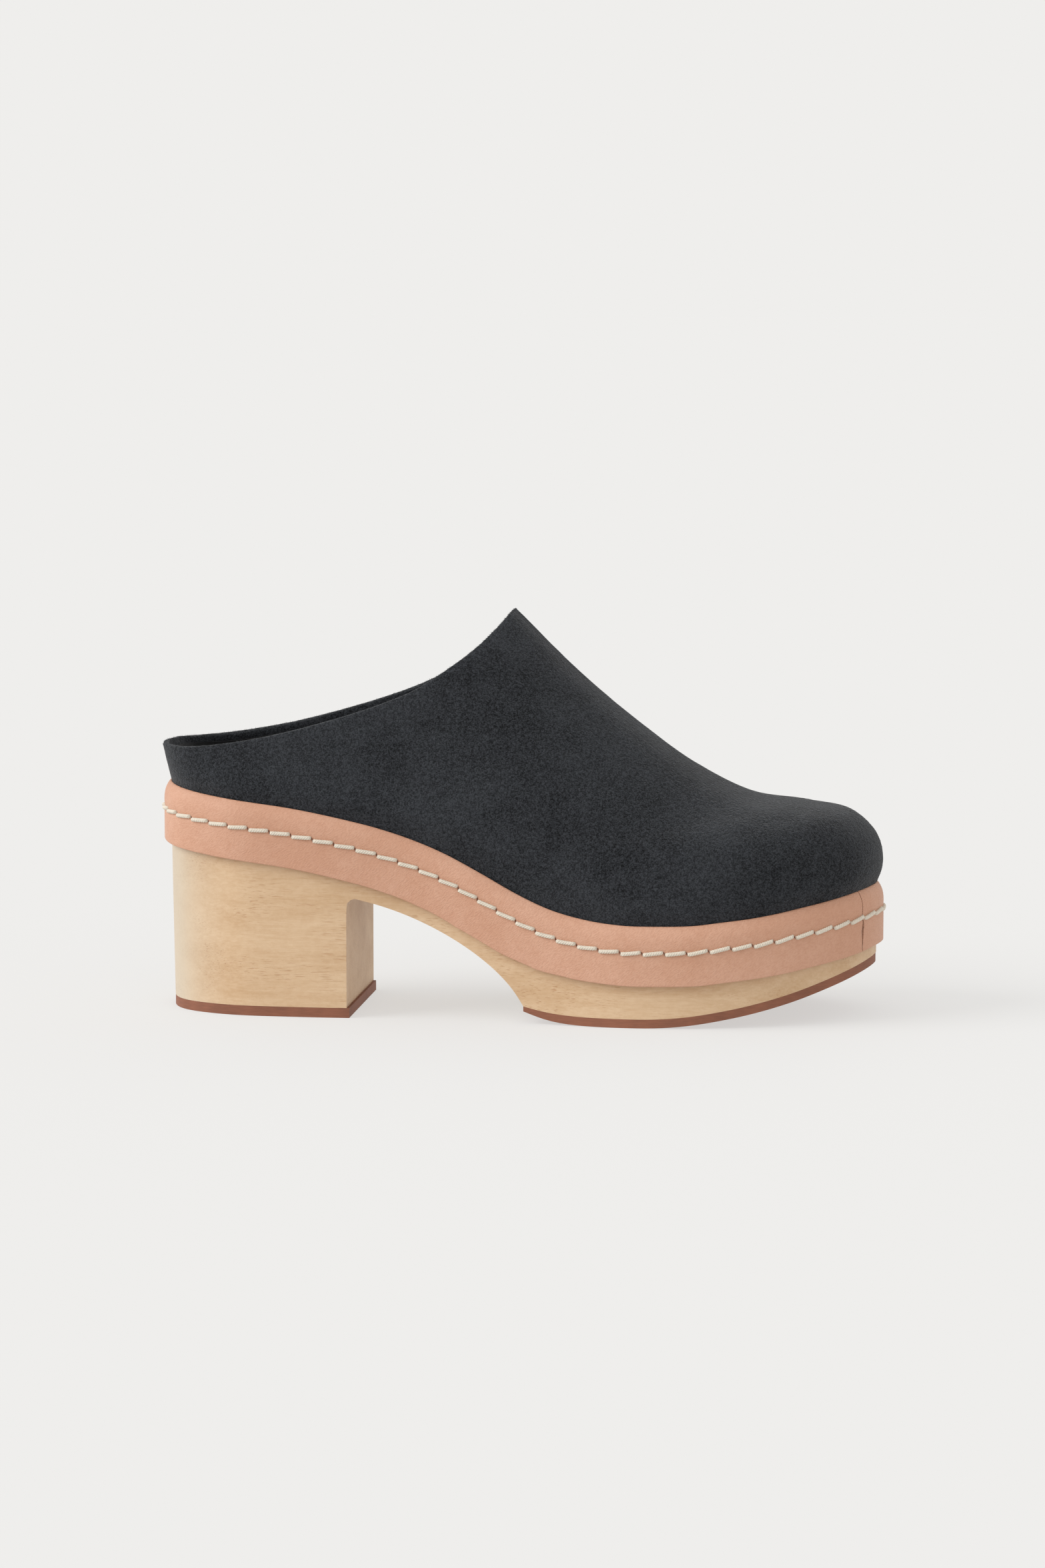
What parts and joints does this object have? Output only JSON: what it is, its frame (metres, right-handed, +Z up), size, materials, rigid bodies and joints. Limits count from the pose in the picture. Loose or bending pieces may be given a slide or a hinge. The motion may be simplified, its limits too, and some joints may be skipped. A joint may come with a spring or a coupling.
{
  "type": "wooden clog",
  "caption": "Closed-toe clog with a carved wooden platform sole and block heel, a leather band stitched round the sole's edge, and a suede upper with a low open back.",
  "frame": {"origin": "centre of the bounding box in plan, on the floor that the clog stands on", "axes": "+X to the toe, +Z up, +Y to the inner (medial) side of a right foot"},
  "size_m": [0.2496, 0.0913, 0.1375],
  "materials": {
    "wood": "satin, bare wood with a fine grain along its length",
    "outsole": "matt brown rubber",
    "band": "smooth undyed leather, satin",
    "thread": "twisted cream thread, matt",
    "suede": "brushed suede, matt",
    "lining": "smooth black lining leather, low sheen",
    "stiffener": "matt fibre stiffener",
    "board": "matt pressed fibre board",
    "filler": "matt granulated cork",
    "foam": "matt open-cell foam",
    "steel": "bright steel"
  },
  "bodies": {
    "root": {"wood_sole": "wood", "forepart_outsole": "outsole", "heel_top_piece": "outsole", "heel_nail_1": "steel", "heel_nail_2": "steel", "heel_nail_3": "steel", "heel_nail_4": "steel", "heel_nail_5": "steel", "outsole_tack_1": "steel", "outsole_tack_2": "steel", "outsole_tack_3": "steel", "outsole_tack_4": "steel", "outsole_tack_5": "steel", "seat_nail_1": "steel", "seat_nail_2": "steel", "seat_nail_3": "steel", "sole_wrap": "band", "wrap_thread": "thread", "suede_upper": "suede", "toe_puff": "stiffener", "heel_counter": "stiffener", "vamp_lining": "lining", "heel_lining": "lining", "insole_board": "board", "bottom_filler": "filler", "foam_pad": "foam", "sock_lining": "lining"}
  },
  "joints": []
}
